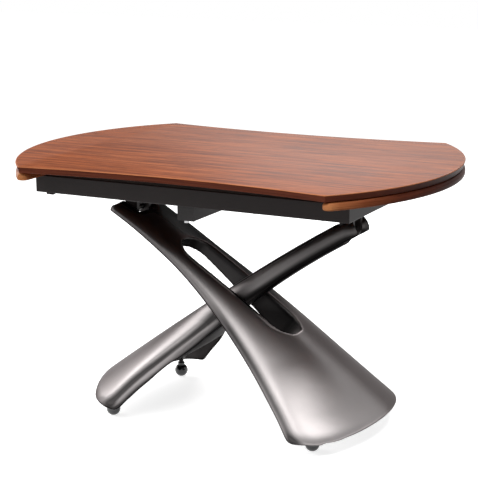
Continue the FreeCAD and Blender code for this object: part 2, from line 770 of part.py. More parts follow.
# Release tab and the staple that holds it under the front rail
tab_top_z = frame_low_z - staple_gap
tab_front_y = -frame_half_y + tab_front_gap
tab = box(tab_x - tab_width / 2, tab_x + tab_width / 2, tab_front_y, tab_front_y + tab_length,
          tab_top_z - tab_thickness, tab_top_z)
save("release_tab", tab)
staple_y = (-frame_half_y - rail_inner_y) / 2
staple_out = tab_width / 2 + staple_gap + staple_wall
staple_low_z = tab_top_z - tab_thickness - staple_gap - staple_wall
staple = box(tab_x - staple_out, tab_x + staple_out, staple_y - staple_length / 2,
             staple_y + staple_length / 2, staple_low_z, frame_low_z)
staple = staple.cut(box(tab_x - staple_out + staple_wall, tab_x + staple_out - staple_wall,
                        staple_y - staple_length, staple_y + staple_length,
                        staple_low_z + staple_wall, frame_low_z + 1))
save("tab_staple", staple)

print("pivot %.2f %.2f  hinge %.2f %.2f" % (pivot.x, pivot.z, hinge.x, hinge.z))
print("ball pin %.2f %.2f  leg length %.1f" % (ball_x, foot_pin_height, leg_length))
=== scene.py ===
import math

import bmesh
import bpy
import numpy as np
from mathutils import Matrix, Vector


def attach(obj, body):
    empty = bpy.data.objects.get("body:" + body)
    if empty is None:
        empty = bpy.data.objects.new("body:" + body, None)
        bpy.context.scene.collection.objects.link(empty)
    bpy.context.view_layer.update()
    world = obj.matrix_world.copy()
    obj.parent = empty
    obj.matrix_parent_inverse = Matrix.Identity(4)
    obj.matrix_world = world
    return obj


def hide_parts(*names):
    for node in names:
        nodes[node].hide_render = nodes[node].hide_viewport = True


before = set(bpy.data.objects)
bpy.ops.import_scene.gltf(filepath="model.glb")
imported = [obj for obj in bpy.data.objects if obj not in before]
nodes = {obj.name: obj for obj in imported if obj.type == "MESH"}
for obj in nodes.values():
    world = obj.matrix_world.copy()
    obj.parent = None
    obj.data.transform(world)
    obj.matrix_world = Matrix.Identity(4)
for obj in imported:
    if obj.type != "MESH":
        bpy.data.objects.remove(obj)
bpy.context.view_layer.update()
scene = bpy.context.scene


# Ball feet. Gloss black moulded balls, each with a turned collar round its black coated neck and a
# small flat where it stands on the floor; the neck hangs on a plated cross pin inside the leg's foot.
BALL_RADIUS = 0.020
BALL_FLAT = 0.0008
BALL_X = 0.314
BALL_Y = 0.195
BALL_STEPS = 18
BALL_CREASE = 40
COLLAR_RADIUS = 0.0105
COLLAR_TOP = 0.0445
COLLAR_EASE = 0.001
NECK_RADIUS = 0.0072
NECK_LOW = 0.026
TURNING_STEPS = 48


def link_object(name, mesh):
    obj = bpy.data.objects.new(name, mesh)
    scene.collection.objects.link(obj)
    return obj


def smooth_shading(mesh, crease_degrees):
    mesh.polygons.foreach_set("use_smooth", [True] * len(mesh.polygons))
    mesh.set_sharp_from_angle(angle=math.radians(crease_degrees))
    mesh.update()


def add_turning(bm, profile, place):
    """Turns a profile of (radius, height) points about a vertical axis at place."""
    rings = []
    for radius, height in profile:
        if radius == 0:
            rings.append([bm.verts.new(place + Vector((0, 0, height)))])
            continue
        ring = []
        for i in range(TURNING_STEPS):
            angle = 2 * math.pi * i / TURNING_STEPS
            offset = Vector((radius * math.cos(angle), radius * math.sin(angle), height))
            ring.append(bm.verts.new(place + offset))
        rings.append(ring)
    for low, high in zip(rings, rings[1:]):
        for i in range(TURNING_STEPS):
            j = (i + 1) % TURNING_STEPS
            corners = [low[i % len(low)], low[j % len(low)], high[j % len(high)], high[i % len(high)]]
            bm.faces.new(list(dict.fromkeys(corners)))


def mesh_from(bm, name, crease_degrees):
    bmesh.ops.recalc_face_normals(bm, faces=bm.faces)
    mesh = bpy.data.meshes.new(name)
    bm.to_mesh(mesh)
    bm.free()
    smooth_shading(mesh, crease_degrees)
    return mesh


def new_material(name):
    material = bpy.data.materials.new(name)
    material.use_nodes = True
    return material, material.node_tree, material.node_tree.nodes["Principled BSDF"]


def add_node(tree, kind, values=None, **settings):
    node = tree.nodes.new(kind)
    for key, value in settings.items():
        setattr(node, key, value)
    for key, value in (values or {}).items():
        node.inputs[key].default_value = value
    return node


def add_ramp(tree, factor, stops):
    ramp = tree.nodes.new("ShaderNodeValToRGB")
    elements = ramp.color_ramp.elements
    while len(elements) < len(stops):
        elements.new(0.5)
    for element, (position, colour) in zip(elements, stops):
        element.position = position
        element.color = (*colour, 1)
    tree.links.new(factor, ramp.inputs["Fac"])
    return ramp.outputs["Color"]


def new_group(name, inputs, outputs):
    group = bpy.data.node_groups.new(name, "ShaderNodeTree")
    for socket, value in inputs.items():
        made = group.interface.new_socket(name=socket, in_out="INPUT", socket_type="NodeSocketFloat")
        made.default_value = value
    for socket, kind in outputs.items():
        group.interface.new_socket(name=socket, in_out="OUTPUT", socket_type=kind)
    return group, group.nodes.new("NodeGroupInput"), group.nodes.new("NodeGroupOutput")


# Coat texture shared by paint, plastic and bare metal: broad clouding of tone, fine grain in relief
coat_group, coat_in, coat_out = new_group(
    "coat_texture",
    {"Cloud Scale": 6.0, "Grain Scale": 900.0},
    {"Cloud": "NodeSocketFloat", "Grain": "NodeSocketFloat"})
coat_place = add_node(coat_group, "ShaderNodeTexCoord")
coat_cloud = add_node(coat_group, "ShaderNodeTexNoise", {"Detail": 4.0, "Roughness": 0.6})
coat_grain = add_node(coat_group, "ShaderNodeTexNoise", {"Detail": 2.0, "Roughness": 0.5})
for node, scale in ((coat_cloud, "Cloud Scale"), (coat_grain, "Grain Scale")):
    coat_group.links.new(coat_place.outputs["Object"], node.inputs["Vector"])
    coat_group.links.new(coat_in.outputs[scale], node.inputs["Scale"])
coat_group.links.new(coat_cloud.outputs["Fac"], coat_out.inputs["Cloud"])
coat_group.links.new(coat_grain.outputs["Fac"], coat_out.inputs["Grain"])


def coated_material(name, dark, light, rough, cloud_scale, grain_scale, grain_depth, sockets):
    """A surface whose tone clouds gently and whose gloss follows a fine grain in relief."""
    material, tree, shader = new_material(name)
    coat = add_node(tree, "ShaderNodeGroup", {"Cloud Scale": cloud_scale, "Grain Scale": grain_scale},
                    node_tree=coat_group)
    tone = add_ramp(tree, coat.outputs["Cloud"], [(0.3, dark), (0.7, light)])
    gloss = add_node(tree, "ShaderNodeMapRange", {"To Min": rough[0], "To Max": rough[1]})
    relief = add_node(tree, "ShaderNodeBump", {"Strength": 0.35, "Distance": grain_depth})
    tree.links.new(coat.outputs["Grain"], gloss.inputs["Value"])
    tree.links.new(coat.outputs["Grain"], relief.inputs["Height"])
    tree.links.new(tone, shader.inputs["Base Color"])
    tree.links.new(gloss.outputs["Result"], shader.inputs["Roughness"])
    tree.links.new(relief.outputs["Normal"], shader.inputs["Normal"])
    for socket, value in sockets.items():
        shader.inputs[socket].default_value = value
    return material


def finish_nodes(material, *names):
    for name in names:
        nodes[name].data.materials.clear()
        nodes[name].data.materials.append(material)


ball_gloss = coated_material(
    "gloss_black_ball", (0.008, 0.008, 0.009), (0.014, 0.014, 0.015), rough=(0.12, 0.2),
    cloud_scale=40.0, grain_scale=500.0, grain_depth=0.00005,
    sockets={"Coat Weight": 0.4, "Coat Roughness": 0.08})

lowest = -math.asin((BALL_RADIUS - BALL_FLAT) / BALL_RADIUS)
highest = math.acos(COLLAR_RADIUS / BALL_RADIUS)
ball_profile = [(0, 0)]
for i in range(BALL_STEPS + 1):
    angle = lowest + (highest - lowest) * i / BALL_STEPS
    ball_profile.append((BALL_RADIUS * math.cos(angle),
                         BALL_RADIUS - BALL_FLAT + BALL_RADIUS * math.sin(angle)))
ball_profile += [(COLLAR_RADIUS, COLLAR_TOP - COLLAR_EASE), (COLLAR_RADIUS - COLLAR_EASE, COLLAR_TOP),
                 (NECK_RADIUS, COLLAR_TOP), (NECK_RADIUS, NECK_LOW), (0, NECK_LOW)]

for side_name, side in (("left", -1), ("right", 1)):
    bm = bmesh.new()
    for depth in (-1, 1):
        add_turning(bm, ball_profile, Vector((side * BALL_X, depth * BALL_Y, 0)))
    balls = link_object("ball_feet_" + side_name, mesh_from(bm, "ball_feet_" + side_name, BALL_CREASE))
    balls.data.materials.append(ball_gloss)
    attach(balls, "feet_" + side_name)
    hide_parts("foot_balls_" + side_name)

plated_steel = coated_material(
    "plated_steel", (0.42, 0.42, 0.43), (0.55, 0.55, 0.55), rough=(0.24, 0.38),
    cloud_scale=30.0, grain_scale=1200.0, grain_depth=0.00004, sockets={"Metallic": 1.0})
finish_nodes(plated_steel, "foot_pins_left", "foot_pins_right", "gas_spring_rod", "beam_nuts",
             "leaf_slide_channels_left", "leaf_slide_channels_right")


# Scissor legs. Hollow cast shells with crowned faces and full round edges, spreading into paddle
# feet; blasted, then coated in a satin pewter metallic that runs round every edge without a seam.
LEG_VOXEL = 0.0034
LEG_SMOOTHING = 14
EASE_STEP = 0.5
WELD_DISTANCE = 0.00002
NO_CREASE = 180
FOOT_EASE_TOP, FOOT_EASE_FULL = 0.13, 0.08
FOOT_EASE_ROUNDS = 40
SLOT_HALF = 0.060
SLOT_WALL = 0.008
SLOT_LOW, SLOT_HIGH = 0.22, 0.53
SLOT_SIDE_BLEND, SLOT_END_BLEND = 0.03, 0.02
NORMAL_EASE_ROUNDS = 140
FACING_UP = 0.3
ARCH_FAR, ARCH_FOOT, ARCH_WAIST = 2.2, 0.9, 3.0
ARCH_FOOT_Z, ARCH_WAIST_Z = 0.10, 0.226
INNER_LEG_DOWN = np.array((-0.787, 0.0, -0.617))
LEVEL_SHARE = 0.75
LEVEL_FULL_Z, LEVEL_END_Z = 0.30, 0.36


def pewter_with_painted_shade(name, slot_shade):
    """Satin pewter whose colour is darkened as painted shade: upwards, under the legs, at side edges, on
    back faces and in the slot.
    """
    material, tree, shader = new_material(name)
    coat = add_node(tree, "ShaderNodeGroup", {"Cloud Scale": 3.5, "Grain Scale": 1500.0},
                    node_tree=coat_group)
    tone = add_ramp(tree, coat.outputs["Cloud"],
                    [(0.3, (0.228, 0.213, 0.212)), (0.7, (0.270, 0.253, 0.251))])
    place = add_node(tree, "ShaderNodeTexCoord")
    flake = add_node(tree, "ShaderNodeTexVoronoi", {"Scale": 1400.0})
    sparkle = add_node(tree, "ShaderNodeMapRange", {"To Min": 0.32, "To Max": 0.46})
    relief = add_node(tree, "ShaderNodeBump", {"Strength": 0.25, "Distance": 0.00006})
    tree.links.new(place.outputs["Object"], flake.inputs["Vector"])
    tree.links.new(flake.outputs["Distance"], sparkle.inputs["Value"])
    tree.links.new(coat.outputs["Grain"], relief.inputs["Height"])
    tree.links.new(sparkle.outputs["Result"], shader.inputs["Roughness"])
    tree.links.new(relief.outputs["Normal"], shader.inputs["Normal"])
    shader.inputs["Metallic"].default_value = 0.95
    shader.inputs["Specular Tint"].default_value = (0.15, 0.14, 0.14, 1)
    where = add_node(tree, "ShaderNodeSeparateXYZ")
    facing = add_node(tree, "ShaderNodeSeparateXYZ")
    depth = add_node(tree, "ShaderNodeMath", operation="ABSOLUTE")
    sideways = add_node(tree, "ShaderNodeMath", operation="ABSOLUTE")
    tree.links.new(place.outputs["Object"], where.inputs["Vector"])
    tree.links.new(place.outputs["Normal"], facing.inputs["Vector"])
    tree.links.new(where.outputs["Y"], depth.inputs[0])
    tree.links.new(facing.outputs["Y"], sideways.inputs[0])
    # Painted shade: each entry darkens the colour along a value, from where to where, by the factor at
    # either end
    ranges = {"height": (where.outputs["Z"], 0.15, 0.51, 1.0, 0.31),
              "under": (facing.outputs["Z"], -0.45, -0.02, 0.16, 1.0),
              "edge": (sideways.outputs[0], 0.87, 0.97, 1.0, 0.20),
              "above": (where.outputs["Z"], 0.27, 0.36, 0.0, 1.0),
              "back": (facing.outputs["Y"], -0.05, 0.30, 1.0, 0.4),
              "below": (where.outputs["Z"], 0.28, 0.38, 1.0, 0.0),
              "wall": (sideways.outputs[0], 0.5, 0.9, 1.0, slot_shade),
              "outside": (depth.outputs[0], SLOT_HALF, SLOT_HALF + SLOT_WALL, 0.0, 1.0)}
    painted_shade = {}
    for key, (value, from_low, from_high, to_low, to_high) in ranges.items():
        node = add_node(tree, "ShaderNodeMapRange", {"From Min": from_low, "From Max": from_high,
                                                     "To Min": to_low, "To Max": to_high})
        tree.links.new(value, node.inputs["Value"])
        painted_shade[key] = node.outputs["Result"]
    # Darker towards the leg tops and on faces turned down; side edges and back faces are darkened only
    # low on the legs, and the slot walls only inside the slot.
    shade_factors = [painted_shade["height"], painted_shade["under"]]
    for shade_key, spare_key in (("edge", "above"), ("back", "below"), ("wall", "outside")):
        either = add_node(tree, "ShaderNodeMath", operation="MAXIMUM")
        tree.links.new(painted_shade[shade_key], either.inputs[0])
        tree.links.new(painted_shade[spare_key], either.inputs[1])
        shade_factors.append(either.outputs[0])
    for share in shade_factors:
        darken = add_node(tree, "ShaderNodeVectorMath", operation="SCALE")
        tree.links.new(tone, darken.inputs[0])
        tree.links.new(share, darken.inputs["Scale"])
        tone = darken.outputs["Vector"]
    tree.links.new(tone, shader.inputs["Base Color"])
    return material


def plain_mesh(obj, name):
    """The object's mesh with its modifiers worked in."""
    depsgraph = bpy.context.evaluated_depsgraph_get()
    mesh = bpy.data.meshes.new_from_object(obj.evaluated_get(depsgraph), depsgraph=depsgraph)
    mesh.name = name
    return mesh


def eased(values, edges, weights, rounds):
    """Values at the vertices, each drawn towards the mean of its neighbours as its weight allows."""
    ends = np.concatenate((edges[:, 0], edges[:, 1]))
    others = np.concatenate((edges[:, 1], edges[:, 0]))
    share = 1 / np.bincount(ends, minlength=len(values))
    for _ in range(rounds):
        means = [np.bincount(ends, values[others, axis], len(values)) * share for axis in range(3)]
        values = values + EASE_STEP * weights[:, None] * (np.stack(means, axis=1) - values)
    return values


def rise(values, start, end):
    """0 at start and before it, 1 at end and beyond it, even between; end may be the lower value."""
    return np.clip((values - start) / (end - start), 0, 1)


def cast_shell(node, name):
    """The leg's solid remeshed in even faces, with its corners eased as a casting's are."""
    bm = bmesh.new()
    bm.from_mesh(nodes[node].data)
    bmesh.ops.remove_doubles(bm, verts=bm.verts, dist=WELD_DISTANCE)
    rough = bpy.data.meshes.new(name + "_rough")
    bm.to_mesh(rough)
    bm.free()
    work = link_object(name + "_work", rough)
    shell = work.modifiers.new("shell", "REMESH")
    shell.mode = "VOXEL"
    shell.voxel_size = LEG_VOXEL
    ease = work.modifiers.new("ease", "SMOOTH")
    ease.factor = EASE_STEP
    ease.iterations = LEG_SMOOTHING
    mesh = plain_mesh(work, name)
    bpy.data.objects.remove(work)
    smooth_shading(mesh, NO_CREASE)
    return mesh


# The shading normals are eased except beside the slot. On the slotted leg they then turn further than
# the faces do, so that its crown reads as full; low on the inner leg they turn less along the leg.
# The last number of each row is the factor of painted shade on the slot walls.
for leg_node, leg_body, leg_name, slot_shade in (("slotted_leg", "leg_a", "cast_leg_slotted", 0.18),
                                                 ("inner_leg", "leg_b", "cast_leg_inner", 0.85)):
    mesh = cast_shell(leg_node, leg_name)
    places = np.empty(3 * len(mesh.vertices))
    edges = np.empty(2 * len(mesh.edges), dtype=int)
    mesh.vertices.foreach_get("co", places)
    mesh.edges.foreach_get("vertices", edges)
    places, edges = places.reshape(-1, 3), edges.reshape(-1, 2)
    in_foot = rise(places[:, 2], FOOT_EASE_TOP, FOOT_EASE_FULL)
    places = eased(places, edges, in_foot, FOOT_EASE_ROUNDS)
    mesh.vertices.foreach_set("co", places.ravel())
    mesh.update()
    height = places[:, 2]
    normals = np.empty(3 * len(mesh.vertices))
    mesh.vertex_normals.foreach_get("vector", normals)
    beside_slot = rise(np.abs(places[:, 1]), SLOT_HALF, SLOT_HALF + SLOT_SIDE_BLEND)
    reach = (SLOT_HIGH - SLOT_LOW) / 2
    past_slot = rise(np.abs(height - (SLOT_LOW + SLOT_HIGH) / 2), reach, reach + SLOT_END_BLEND)
    clear_of_slot = np.maximum(beside_slot, past_slot)
    normals = eased(normals.reshape(-1, 3), edges, clear_of_slot, NORMAL_EASE_ROUNDS)
    normals /= np.linalg.norm(normals, axis=1)[:, None]
    upward = rise(normals[:, 2], 0, FACING_UP)
    if leg_node == "slotted_leg":
        near = ARCH_FOOT + (ARCH_WAIST - ARCH_FOOT) * rise(height, ARCH_FOOT_Z, ARCH_WAIST_Z)
        arch = upward * np.where(normals[:, 1] > 0, ARCH_FAR, near)
        normals[:, 1] *= 1 + arch * (1 - np.abs(normals[:, 1])) ** 2
    else:
        level = LEVEL_SHARE * upward * rise(height, LEVEL_END_Z, LEVEL_FULL_Z)
        against = np.minimum(normals @ INNER_LEG_DOWN, 0)
        normals -= (level * against)[:, None] * INNER_LEG_DOWN
    normals /= np.linalg.norm(normals, axis=1)[:, None]
    mesh.normals_split_custom_set_from_vertices(normals)
    mesh.materials.clear()
    mesh.materials.append(pewter_with_painted_shade("pewter_" + leg_name, slot_shade))
    leg = link_object(leg_name, mesh)
    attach(leg, leg_body)
    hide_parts(leg_node)


# Crossing pivot. A ground steel shaft pressed into the slotted leg, two flanged bronze bushes in
# the inner leg, and a moulded cap that closes the bore at the back.
turned_bronze = coated_material(
    "turned_bronze", (0.42, 0.27, 0.11), (0.55, 0.37, 0.16), rough=(0.25, 0.4),
    cloud_scale=60.0, grain_scale=1500.0, grain_depth=0.00004, sockets={"Metallic": 1.0})
finish_nodes(turned_bronze, "pivot_bushes")
# The pins and shaft are coloured near black, far below bare steel, so that they catch no highlight:
# painted shade.
steel_painted_shade = coated_material(
    "steel_painted_shade", (0.040, 0.037, 0.035), (0.060, 0.056, 0.053), rough=(0.3, 0.45),
    cloud_scale=40.0, grain_scale=1200.0, grain_depth=0.00004, sockets={"Metallic": 1.0})
finish_nodes(steel_painted_shade, "pivot_shaft", "hinge_pin_left", "hinge_pin_right")
moulded_nylon = coated_material(
    "moulded_black_nylon", (0.010, 0.009, 0.009), (0.015, 0.0135, 0.0135), rough=(0.45, 0.6),
    cloud_scale=25.0, grain_scale=900.0, grain_depth=0.00008, sockets={"Specular IOR Level": 0.2})
finish_nodes(moulded_nylon, "pivot_cap", "glide_shoes_left", "glide_shoes_right", "beam_plugs")


# Frame, beam, guide rails and carriages. Welded box tube and folded steel, blasted and powder coated
# satin black, with the faint orange peel that the coat leaves.
powder_black = coated_material(
    "powder_coat_black", (0.0095, 0.0068, 0.0066), (0.0135, 0.0098, 0.0094), rough=(0.4, 0.52),
    cloud_scale=5.0, grain_scale=700.0, grain_depth=0.0001, sockets={"Specular IOR Level": 0.15})
finish_nodes(powder_black, "frame_rail_front", "frame_rail_back", "frame_rail_left", "frame_rail_right",
             "cross_beam", "guide_rail_front", "guide_rail_back", "carriage_left", "carriage_right",
             "tab_staple", "release_tab", "gas_spring_cylinder", "foot_stems_left", "foot_stems_right")


# Screws and bolts. Pan heads with a hexagon recess under the long rails, hexagon bolts under the
# beam; both are zinc plated and stand below the tube they hold.
RAIL_LOW = 0.661
BEAM_LOW = 0.622
SCREW_X = (-0.390, -0.200, 0.200, 0.390)
SCREW_Y = 0.301
BOLT_Y = 0.3025
SHANK_SIDES = 16
FASTENER_CREASE = 30


def fastener_tree(name, material, head_sides, recess_sides):
    """Heads set on points: a shank going up, a head hanging down, a recess in the head."""
    tree = bpy.data.node_groups.new(name, "GeometryNodeTree")
    tree.interface.new_socket(name="Points", in_out="INPUT", socket_type="NodeSocketGeometry")
    for socket in ("Head Radius", "Head Height", "Recess Radius", "Shank Radius", "Shank Length"):
        tree.interface.new_socket(name=socket, in_out="INPUT", socket_type="NodeSocketFloat")
    tree.interface.new_socket(name="Fasteners", in_out="OUTPUT", socket_type="NodeSocketGeometry")
    given = tree.nodes.new("NodeGroupInput")
    made = tree.nodes.new("NodeGroupOutput")

    def cylinder(sides, radius, depth):
        node = add_node(tree, "GeometryNodeMeshCylinder", {"Vertices": sides})
        tree.links.new(given.outputs[radius], node.inputs["Radius"])
        tree.links.new(given.outputs[depth], node.inputs["Depth"])
        return node.outputs["Mesh"]

    def lifted(mesh, depth, share):
        scale = add_node(tree, "ShaderNodeMath", {1: share}, operation="MULTIPLY")
        shift = add_node(tree, "ShaderNodeCombineXYZ")
        move = add_node(tree, "GeometryNodeTransform")
        tree.links.new(given.outputs[depth], scale.inputs[0])
        tree.links.new(scale.outputs[0], shift.inputs["Z"])
        tree.links.new(mesh, move.inputs["Geometry"])
        tree.links.new(shift.outputs["Vector"], move.inputs["Translation"])
        return move.outputs["Geometry"]

    head = lifted(cylinder(head_sides, "Head Radius", "Head Height"), "Head Height", -0.5)
    recess = lifted(cylinder(recess_sides, "Recess Radius", "Head Height"), "Head Height", -0.95)
    shank = lifted(cylinder(SHANK_SIDES, "Shank Radius", "Shank Length"), "Shank Length", 0.5)
    cut = add_node(tree, "GeometryNodeMeshBoolean", operation="DIFFERENCE")
    both = add_node(tree, "GeometryNodeJoinGeometry")
    spread = add_node(tree, "GeometryNodeInstanceOnPoints")
    real = add_node(tree, "GeometryNodeRealizeInstances")
    paint = add_node(tree, "GeometryNodeSetMaterial", {"Material": material})
    tree.links.new(head, cut.inputs["Mesh 1"])
    tree.links.new(recess, cut.inputs["Mesh 2"])
    tree.links.new(cut.outputs["Mesh"], both.inputs["Geometry"])
    tree.links.new(shank, both.inputs["Geometry"])
    tree.links.new(given.outputs["Points"], spread.inputs["Points"])
    tree.links.new(both.outputs["Geometry"], spread.inputs["Instance"])
    tree.links.new(spread.outputs["Instances"], real.inputs["Geometry"])
    tree.links.new(real.outputs["Geometry"], paint.inputs["Geometry"])
    tree.links.new(paint.outputs["Geometry"], made.inputs["Fasteners"])
    return tree


def set_fasteners(name, tree, places, sizes, body, node):
    points = bpy.data.meshes.new(name + "_points")
    points.from_pydata(places, [], [])
    work = link_object(name + "_work", points)
    modifier = work.modifiers.new("fasteners", "NODES")
    modifier.node_group = tree
    for item in tree.interface.items_tree:
        if item.item_type == "SOCKET" and item.in_out == "INPUT" and item.name in sizes:
            modifier[item.identifier] = sizes[item.name]
    mesh = plain_mesh(work, name)
    bpy.data.objects.remove(work)
    smooth_shading(mesh, FASTENER_CREASE)
    piece = link_object(name, mesh)
    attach(piece, body)
    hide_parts(node)


screw_places = [(x, side * SCREW_Y, RAIL_LOW) for x in SCREW_X for side in (-1, 1)]
pan_heads = fastener_tree("pan_head_screws", plated_steel, head_sides=28, recess_sides=6)
set_fasteners("rail_screws", pan_heads, screw_places,
              {"Head Radius": 0.005, "Head Height": 0.0025, "Recess Radius": 0.002,
               "Shank Radius": 0.0025, "Shank Length": 0.083}, "frame", "top_screws")
bolt_places = [(0, side * BOLT_Y, BEAM_LOW) for side in (-1, 1)]
hexagon_heads = fastener_tree("hexagon_bolts", plated_steel, head_sides=6, recess_sides=20)
set_fasteners("beam_fixings", hexagon_heads, bolt_places,
              {"Head Radius": 0.007, "Head Height": 0.005, "Recess Radius": 0.0035,
               "Shank Radius": 0.004, "Shank Length": 0.047}, "frame", "beam_bolts")


# Battens, slides and tapes. Beech battens, coloured near black as painted shade for the shadow line
# under the top, lift the top off the frame; extruded alloy bars on the leaves run in steel channels on
# the battens, and low friction tape lines the top.
batten_painted_shade = coated_material(
    "beech_painted_black_shade", (0.014, 0.011, 0.010), (0.028, 0.022, 0.019), rough=(0.5, 0.7),
    cloud_scale=22.0, grain_scale=420.0, grain_depth=0.0002, sockets={"Specular IOR Level": 0.05})
finish_nodes(batten_painted_shade, "top_batten_front", "top_batten_back")
mill_alloy = coated_material(
    "mill_finish_alloy", (0.55, 0.55, 0.56), (0.66, 0.66, 0.67), rough=(0.3, 0.42),
    cloud_scale=15.0, grain_scale=1300.0, grain_depth=0.00005, sockets={"Metallic": 1.0})
finish_nodes(mill_alloy, "leaf_slide_bars_left", "leaf_slide_bars_right")
slide_tape = coated_material(
    "slide_tape_grey", (0.16, 0.16, 0.17), (0.2, 0.2, 0.21), rough=(0.35, 0.5),
    cloud_scale=30.0, grain_scale=800.0, grain_depth=0.00005, sockets={})
finish_nodes(slide_tape, "slide_tapes")


# Veneer shared by the top and the leaves. Straight grained walnut stained a red brown, laid with its
# grain along the table, satin lacquered; the edges are lipped in the same wood.
LEAF_SHIFT = (3.7, 1.3, 0.4)
LIPPING_REACH = 0.43
PALE = (1.0, 1.0, 1.0)
grain_group, grain_in, grain_out = new_group(
    "walnut_grain",
    {"Leaf Width": 0.14},
    {"Figure": "NodeSocketFloat", "Streak": "NodeSocketFloat", "Pore": "NodeSocketFloat",
     "Leaf": "NodeSocketFloat"})
place = add_node(grain_group, "ShaderNodeTexCoord")
apart = add_node(grain_group, "ShaderNodeSeparateXYZ")
share = add_node(grain_group, "ShaderNodeMath", operation="DIVIDE")
whole = add_node(grain_group, "ShaderNodeMath", operation="FLOOR")
leaf_tone = add_node(grain_group, "ShaderNodeTexWhiteNoise", noise_dimensions="1D")
grain_group.links.new(place.outputs["Object"], apart.inputs["Vector"])
grain_group.links.new(apart.outputs["Y"], share.inputs[0])
grain_group.links.new(grain_in.outputs["Leaf Width"], share.inputs[1])
grain_group.links.new(share.outputs[0], whole.inputs[0])
grain_group.links.new(whole.outputs[0], leaf_tone.inputs["W"])
grain_group.links.new(leaf_tone.outputs["Value"], grain_out.inputs["Leaf"])
shifted = add_node(grain_group, "ShaderNodeVectorMath", {1: LEAF_SHIFT}, operation="MULTIPLY_ADD")
grain_group.links.new(leaf_tone.outputs["Color"], shifted.inputs[0])
grain_group.links.new(place.outputs["Object"], shifted.inputs[2])
# Each layer's stretch along the grain, then its noise's scale, detail and distortion
layers = {"Figure": ((1.6, 16.0, 16.0), 2.2, 5.0, 0.9),
          "Streak": ((2.6, 46.0, 46.0), 2.0, 5.0, 0.25),
          "Pore": ((14.0, 420.0, 420.0), 2.0, 2.0, 0.0)}
for layer, (stretch, scale, detail, distortion) in layers.items():
    mapping = add_node(grain_group, "ShaderNodeMapping", {"Scale": stretch})
    noise = add_node(grain_group, "ShaderNodeTexNoise",
                     {"Scale": scale, "Detail": detail, "Roughness": 0.58, "Distortion": distortion})
    grain_group.links.new(shifted.outputs["Vector"], mapping.inputs["Vector"])
    grain_group.links.new(mapping.outputs["Vector"], noise.inputs["Vector"])
    grain_group.links.new(noise.outputs["Fac"], grain_out.inputs[layer])


def veneer_material(name, dark, middle, light):
    """Walnut with its figure, streaks and pores, under a satin lacquer."""
    material, tree, shader = new_material(name)
    grain = add_node(tree, "ShaderNodeGroup", node_tree=grain_group)
    figure = add_ramp(tree, grain.outputs["Figure"], [(0.28, dark), (0.5, middle), (0.72, light)])
    streak = add_ramp(tree, grain.outputs["Streak"], [(0.35, (0.30, 0.22, 0.18)), (0.57, PALE)])
    pore = add_ramp(tree, grain.outputs["Pore"], [(0.36, (0.45, 0.38, 0.34)), (0.46, PALE)])
    leaf = add_ramp(tree, grain.outputs["Leaf"], [(0.0, (0.86, 0.83, 0.82)), (1.0, PALE)])
    colour = figure
    for layer, strength in ((streak, 0.85), (pore, 0.7), (leaf, 1.0)):
        mix = add_node(tree, "ShaderNodeMix", {"Factor": strength}, data_type="RGBA",
                       blend_type="MULTIPLY")
        tree.links.new(colour, mix.inputs["A"])
        tree.links.new(layer, mix.inputs["B"])
        colour = mix.outputs["Result"]
    gloss = add_node(tree, "ShaderNodeMapRange", {"To Min": 0.42, "To Max": 0.56})
    relief = add_node(tree, "ShaderNodeBump", {"Strength": 0.3, "Distance": 0.00012})
    tree.links.new(grain.outputs["Streak"], gloss.inputs["Value"])
    tree.links.new(grain.outputs["Pore"], relief.inputs["Height"])
    tree.links.new(colour, shader.inputs["Base Color"])
    tree.links.new(gloss.outputs["Result"], shader.inputs["Roughness"])
    tree.links.new(relief.outputs["Normal"], shader.inputs["Normal"])
    shader.inputs["Specular IOR Level"].default_value = 0.022
    return material


walnut_top = veneer_material("walnut_veneer", dark=(0.170, 0.037, 0.009), middle=(0.305, 0.080, 0.022),
                             light=(0.395, 0.118, 0.039))


def lipping_with_painted_light(name, shade_and_highlight_tones):
    """Solid lipping with its grain along the edge, toned from the middle of the board to its tips as
    painted shade and painted highlight.
    """
    material, tree, shader = new_material(name)
    place = add_node(tree, "ShaderNodeTexCoord")
    apart = add_node(tree, "ShaderNodeSeparateXYZ")
    across = add_node(tree, "ShaderNodeMath", operation="ABSOLUTE")
    reach = add_node(tree, "ShaderNodeMapRange", {"From Max": LIPPING_REACH})
    stretch = add_node(tree, "ShaderNodeMapping", {"Scale": (3.0, 3.0, 220.0)})
    noise = add_node(tree, "ShaderNodeTexNoise", {"Scale": 2.0, "Detail": 3.0, "Distortion": 0.2})
    tree.links.new(place.outputs["Object"], apart.inputs["Vector"])
    tree.links.new(place.outputs["Object"], stretch.inputs["Vector"])
    tree.links.new(stretch.outputs["Vector"], noise.inputs["Vector"])
    tree.links.new(apart.outputs["Y"], across.inputs[0])
    tree.links.new(across.outputs[0], reach.inputs["Value"])
    grain = add_ramp(tree, noise.outputs["Fac"], [(0.35, (0.6, 0.54, 0.5)), (0.6, PALE)])
    mix = add_node(tree, "ShaderNodeMix", {"Factor": 1.0}, data_type="RGBA", blend_type="MULTIPLY")
    tree.links.new(add_ramp(tree, reach.outputs["Result"], shade_and_highlight_tones), mix.inputs["A"])
    tree.links.new(grain, mix.inputs["B"])
    tree.links.new(mix.outputs["Result"], shader.inputs["Base Color"])
    shader.inputs["Roughness"].default_value = 0.42
    shader.inputs["Specular IOR Level"].default_value = 0.03
    return material


# The top's lipping is darkened far below its veneer: painted shade on the edge that slopes under.
top_lipping_painted_shade = lipping_with_painted_light("walnut_top_lipping_painted_shade", [
    (0.0, (0.022, 0.005, 0.003)), (1.0, (0.11, 0.026, 0.012))])
# The eased arris is lightened to an orange: a painted highlight along the edge.
walnut_arris_painted_highlight = lipping_with_painted_light("walnut_arris_painted_highlight", [
    (0.0, (0.28, 0.095, 0.045)), (1.0, (0.40, 0.145, 0.06))])
